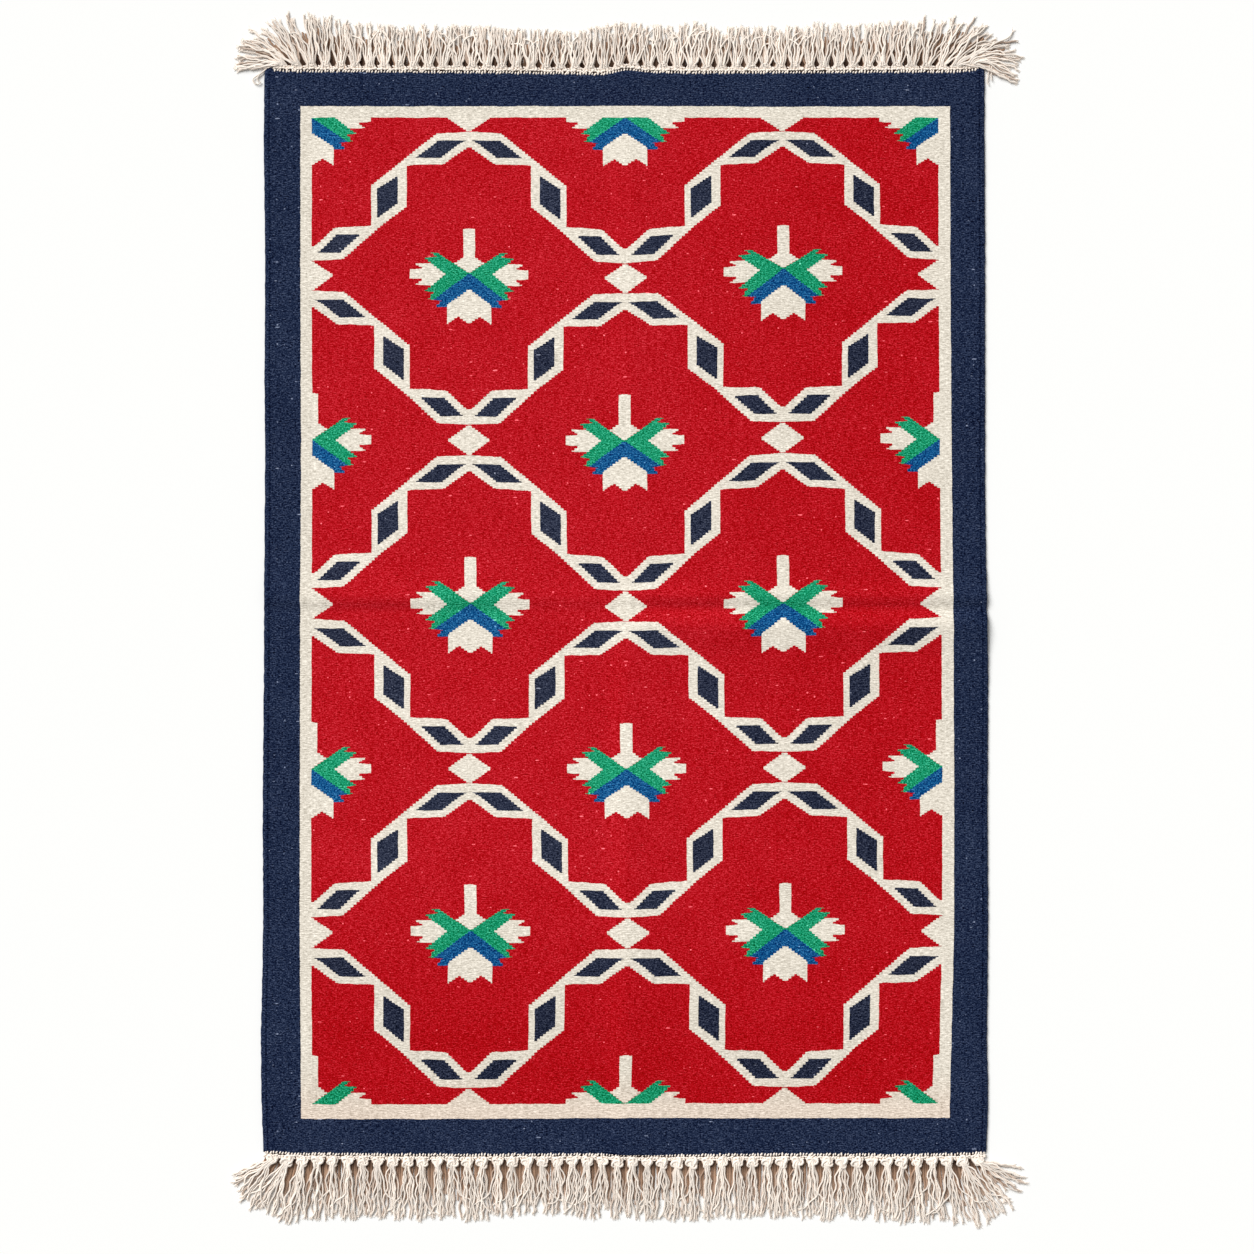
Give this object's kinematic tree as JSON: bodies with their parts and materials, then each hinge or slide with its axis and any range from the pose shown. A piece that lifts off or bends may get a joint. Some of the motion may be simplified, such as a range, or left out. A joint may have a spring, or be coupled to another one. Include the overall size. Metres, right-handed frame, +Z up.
{
  "type": "dhurrie rug",
  "caption": "Flat-woven cotton floor rug with a trellis and sprig pattern inside a dark border, and knotted fringe along both ends.",
  "frame": {"origin": "on the floor under the middle of the whole rug, fringe included", "axes": "+X across the rug, +Y along it towards the picture's upper end, +Z up from the floor"},
  "size_m": [1.3074, 2.0015, 0.0082],
  "materials": {
    "woven_cloth": "matt weft-faced cotton weave, red field, navy border, cream, blue and green pattern",
    "fringe_yarn": "matt undyed cotton yarn"
  },
  "bodies": {
    "root": {"woven_body": "woven_cloth", "fringe_top": "fringe_yarn", "fringe_bottom": "fringe_yarn"}
  },
  "joints": []
}
